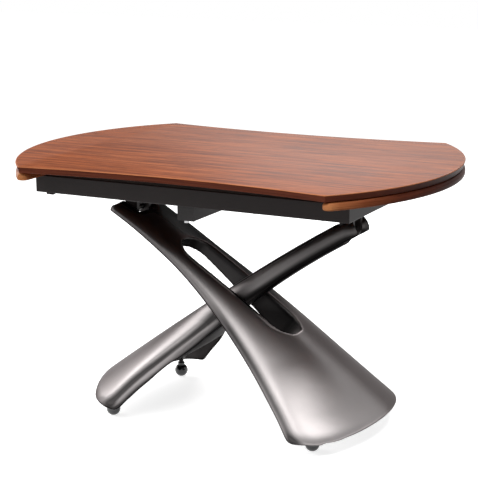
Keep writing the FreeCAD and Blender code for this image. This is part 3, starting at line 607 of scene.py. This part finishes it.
# The leaf lipping runs from painted shade at the middle of the head to a painted highlight on the tips.
leaf_lipping_painted_light = lipping_with_painted_light("walnut_leaf_lipping_painted_light", [
    (0.0, (0.034, 0.008, 0.005)), (0.55, (0.08, 0.020, 0.010)), (0.78, (0.17, 0.048, 0.019)),
    (0.91, (0.27, 0.092, 0.035)), (0.97, (0.44, 0.18, 0.07))])


# Table top. An 18 mm board with bowed ends and hollowed long sides; the arris is eased and the edge
# slopes under, so that the top looks thinner than it is.
TOP_HIGH = 0.750
TOP_LOW = 0.732
CORNER_X = 0.4485
CORNER_Y = 0.4225
END_BOW = 0.170
SIDE_HOLLOW = 0.037
ARC_STEPS = 72
BOARD_CREASE = 32
TOP_LIPPED = 5
END_RADIUS = (CORNER_Y ** 2 + END_BOW ** 2) / (2 * END_BOW)
END_CENTRE = CORNER_X + END_BOW - END_RADIUS
SIDE_RADIUS = (CORNER_X ** 2 + SIDE_HOLLOW ** 2) / (2 * SIDE_HOLLOW)
SIDE_CENTRE = CORNER_Y - SIDE_HOLLOW + SIDE_RADIUS


def arc(x, y, radius, start, sweep, steps):
    """Points from the start angle through the sweep, with both ends."""
    angles = [start + sweep * i / steps for i in range(steps + 1)]
    return [(x + radius * math.cos(angle), y + radius * math.sin(angle)) for angle in angles]


def top_outline(inset):
    """Points round the top, moved in by inset all the way round."""
    end_r = END_RADIUS - inset
    side_r = SIDE_RADIUS + inset
    span = math.hypot(END_CENTRE, SIDE_CENTRE)
    along = (end_r ** 2 - side_r ** 2 + span ** 2) / (2 * span)
    across = math.sqrt(end_r ** 2 - along ** 2)
    ux, uy = -END_CENTRE / span, SIDE_CENTRE / span
    corner_x = END_CENTRE + along * ux + across * uy
    corner_y = along * uy - across * ux
    end_angle = math.atan2(corner_y, corner_x - END_CENTRE)
    side_angle = math.atan2(corner_x, SIDE_CENTRE - corner_y)
    end = arc(END_CENTRE, 0, end_r, -end_angle, 2 * end_angle, ARC_STEPS)[:-1]
    side = arc(0, SIDE_CENTRE, side_r, side_angle - math.pi / 2, -2 * side_angle, ARC_STEPS)[:-1]
    return end + side + [(-x, -y) for x, y in end + side]


def add_board(bm, outline, profile, lipped):
    """A closed board from an outline at each (inset, height) of its edge; the first bands are lipped."""
    rings = []
    for inset, height in profile:
        rings.append([bm.verts.new((x, y, height)) for x, y in outline(inset)])
    for band, (low, high) in enumerate(zip(rings, rings[1:])):
        for i in range(len(low)):
            j = (i + 1) % len(low)
            face = bm.faces.new((low[i], low[j], high[j], high[i]))
            face.material_index = 1 if band < lipped else 2
    bm.faces.new(rings[0][::-1])
    bm.faces.new(rings[-1])


bm = bmesh.new()
top_profile = [(0.0060, TOP_LOW), (0.0052, TOP_LOW + 0.0004), (0.0046, TOP_LOW + 0.0014),
               (0.0008, TOP_HIGH - 0.0036), (0.0002, TOP_HIGH - 0.0026), (0.0, TOP_HIGH - 0.0019),
               (0.0005, TOP_HIGH - 0.0010), (0.0014, TOP_HIGH - 0.0003), (0.0026, TOP_HIGH)]
# The bands under the arris take the painted shade of the lipping, the arris bands the painted highlight.
add_board(bm, top_outline, top_profile, TOP_LIPPED)
board = link_object("walnut_top", mesh_from(bm, "walnut_top", BOARD_CREASE))
for wood in (walnut_top, top_lipping_painted_shade, walnut_arris_painted_highlight):
    board.data.materials.append(wood)
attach(board, "frame")
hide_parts("table_top")


# End leaves. Boards of the same walnut with a bowed head that follows the end of the top, round tips,
# and a plain tongue that stays between the battens when the leaf is drawn out.
LEAF_HIGH = 0.7295
LEAF_LOW = 0.7095
LEAF_CHORD = 0.432
LEAF_TIP = 0.018
TIP_STEPS = 16
BOW_STEPS = 96
TONGUE_IN = 0.030
TONGUE_HALF = 0.268
TONGUE_LAP = 0.030


def leaf_outline(inset):
    """Points round a leaf head, from the chord round one tip, the bow and the other tip."""
    end_r = END_RADIUS - inset
    tip_r = LEAF_TIP - inset
    tip_x = LEAF_CHORD + LEAF_TIP
    tip_y = math.sqrt((END_RADIUS - LEAF_TIP) ** 2 - (tip_x - END_CENTRE) ** 2)
    bow_angle = math.atan2(tip_y, tip_x - END_CENTRE)
    turn = math.pi - bow_angle
    bow = arc(END_CENTRE, 0, end_r, -bow_angle, 2 * bow_angle, BOW_STEPS)[1:-1]
    return (arc(tip_x, -tip_y, tip_r, math.pi, turn, TIP_STEPS) + bow
            + arc(tip_x, tip_y, tip_r, bow_angle, turn, TIP_STEPS))


def tongue_outline(inset):
    half = TONGUE_HALF - inset
    inner = TONGUE_IN + inset
    outer = LEAF_CHORD + TONGUE_LAP
    return [(inner, -half), (outer, -half), (outer, half), (inner, half)]


head_profile = [(0.0042, LEAF_LOW), (0.0022, LEAF_LOW + 0.0006), (0.0008, LEAF_LOW + 0.002),
                (0.0, LEAF_LOW + 0.0045), (0.0, LEAF_HIGH - 0.0085), (0.0006, LEAF_HIGH - 0.006),
                (0.0022, LEAF_HIGH - 0.0035), (0.0045, LEAF_HIGH - 0.0012), (0.0070, LEAF_HIGH)]
tongue_profile = [(0.0008, LEAF_LOW), (0.0, LEAF_LOW + 0.0008),
                  (0.0, LEAF_HIGH - 0.0008), (0.0008, LEAF_HIGH)]


def leaf_part(name, outline, profile):
    """A head or a tongue, lipped all the way up its edge."""
    bm = bmesh.new()
    add_board(bm, outline, profile, len(profile) - 1)
    part = link_object(name, mesh_from(bm, name, BOARD_CREASE))
    part.data.materials.append(walnut_top)
    part.data.materials.append(leaf_lipping_painted_light)
    return part


for side_name, side in (("left", -1), ("right", 1)):
    head = leaf_part("leaf_head_work", leaf_outline, head_profile)
    tongue = leaf_part("leaf_tongue_work", tongue_outline, tongue_profile)
    joint = head.modifiers.new("tongue", "BOOLEAN")
    joint.operation = "UNION"
    joint.object = tongue
    mesh = plain_mesh(head, "end_board_" + side_name)
    bpy.data.objects.remove(head)
    bpy.data.objects.remove(tongue)
    if side < 0:
        mesh.transform(Matrix.Rotation(math.pi, 4, "Z"))
    smooth_shading(mesh, BOARD_CREASE)
    leaf = link_object("end_board_" + side_name, mesh)
    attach(leaf, "leaf_" + side_name)
    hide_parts("end_leaf_" + side_name)


# Studio. A white floor that keeps the shadow near the table and runs out to a white surround. Soft
# boxes stand in front, at the right, at the left and low at the front left for the legs, and one
# behind for the sheen on the lacquer.
FLOOR_HALF = 12
SHADOW_NEAR, SHADOW_FAR = 0.8, 2.6
SHADOW_GLOW = 0.8
AIR_LIGHT = 0.13


def seen_white(tree):
    """1 for rays that show the background to the eye, in metal or through glass, and 0 for the rest."""
    rays = add_node(tree, "ShaderNodeLightPath")
    total = rays.outputs["Is Camera Ray"]
    for kind in ("Is Glossy Ray", "Is Transmission Ray"):
        both = add_node(tree, "ShaderNodeMath", operation="MAXIMUM")
        tree.links.new(total, both.inputs[0])
        tree.links.new(rays.outputs[kind], both.inputs[1])
        total = both.outputs[0]
    return total


floor_white, tree, shader = new_material("studio_white")
shader.inputs["Base Color"].default_value = (0.8, 0.8, 0.8, 1)
shader.inputs["Roughness"].default_value = 0.9
shader.inputs["Specular IOR Level"].default_value = 0.0
shader.inputs["Emission Color"].default_value = (1, 1, 1, 1)
place = add_node(tree, "ShaderNodeTexCoord")
away = add_node(tree, "ShaderNodeVectorMath", operation="LENGTH")
level = add_node(tree, "ShaderNodeMapRange", {"From Min": SHADOW_NEAR, "From Max": SHADOW_FAR,
                                              "To Min": SHADOW_GLOW, "To Max": 1.0})
glow = add_node(tree, "ShaderNodeMath", operation="MULTIPLY")
tree.links.new(place.outputs["Object"], away.inputs[0])
tree.links.new(away.outputs["Value"], level.inputs["Value"])
tree.links.new(level.outputs["Result"], glow.inputs[0])
tree.links.new(seen_white(tree), glow.inputs[1])
tree.links.new(glow.outputs[0], shader.inputs["Emission Strength"])
bm = bmesh.new()
bmesh.ops.create_grid(bm, x_segments=1, y_segments=1, size=FLOOR_HALF)
floor = link_object("studio_floor", mesh_from(bm, "studio_floor", NO_CREASE))
floor.data.materials.append(floor_white)

world = bpy.data.worlds.new("studio_air")
scene.world = world
world.use_nodes = True
tree = world.node_tree
air = tree.nodes["Background"]
air.inputs["Color"].default_value = (1, 1, 1, 1)
level = add_node(tree, "ShaderNodeMapRange", {"To Min": AIR_LIGHT, "To Max": 1.0})
tree.links.new(seen_white(tree), level.inputs["Value"])
tree.links.new(level.outputs["Result"], air.inputs["Strength"])


def soft_lamp(name, place, target, size, power):
    lamp = bpy.data.lights.new(name, "AREA")
    lamp.shape = "RECTANGLE"
    lamp.size, lamp.size_y = size
    lamp.energy = power
    obj = link_object(name, lamp)
    obj.location = place
    obj.rotation_euler = (Vector(target) - Vector(place)).to_track_quat("-Z", "Y").to_euler()


soft_lamp("front_box", (0.10, -1.65, 2.35), target=(0, -0.1, 0.3), size=(1.8, 1.0), power=40)
soft_lamp("right_box", (1.25, -0.72, 2.45), target=(0.3, -0.2, 0.1), size=(0.7, 0.7), power=27)
soft_lamp("left_box", (-2.35, 0.02, 1.22), target=(-0.15, -0.12, 0.2), size=(1.7, 1.4), power=48)
soft_lamp("low_box", (-1.42, -2.1, 1.5), target=(0, -0.1, 0.2), size=(0.9, 0.7), power=10)
soft_lamp("back_box", (-0.88, 3.30, 2.28), target=(0.2, 0, 0.75), size=(1.9, 1.0), power=76)


# Camera. Stands at the front right above the table, with the turn, tilt, roll and focal length that
# were fitted to the outline of the table in the photograph.
YAW = math.radians(27.81)
PITCH = math.radians(13.24)
ROLL = math.radians(-0.45)
FOCAL_PIXELS = 1453
FRAME_PIXELS = 478
SENSOR_WIDTH = 36
CAMERA_PLACE = (1.8499, -3.5179, 1.4437)
back = Vector((math.sin(YAW) * math.cos(PITCH), -math.cos(YAW) * math.cos(PITCH), math.sin(PITCH)))
right = Vector((math.cos(YAW), math.sin(YAW), 0))
up = back.cross(right)
view_right = math.cos(ROLL) * right + math.sin(ROLL) * up
view_up = -math.sin(ROLL) * right + math.cos(ROLL) * up
lens = bpy.data.cameras.new("photo_camera")
lens.sensor_width = SENSOR_WIDTH
lens.lens = SENSOR_WIDTH * FOCAL_PIXELS / FRAME_PIXELS
camera = link_object("photo_camera", lens)
turn = Matrix((view_right, view_up, back)).transposed().to_4x4()
camera.matrix_world = Matrix.Translation(CAMERA_PLACE) @ turn
scene.camera = camera
scene.view_settings.view_transform = "Standard"
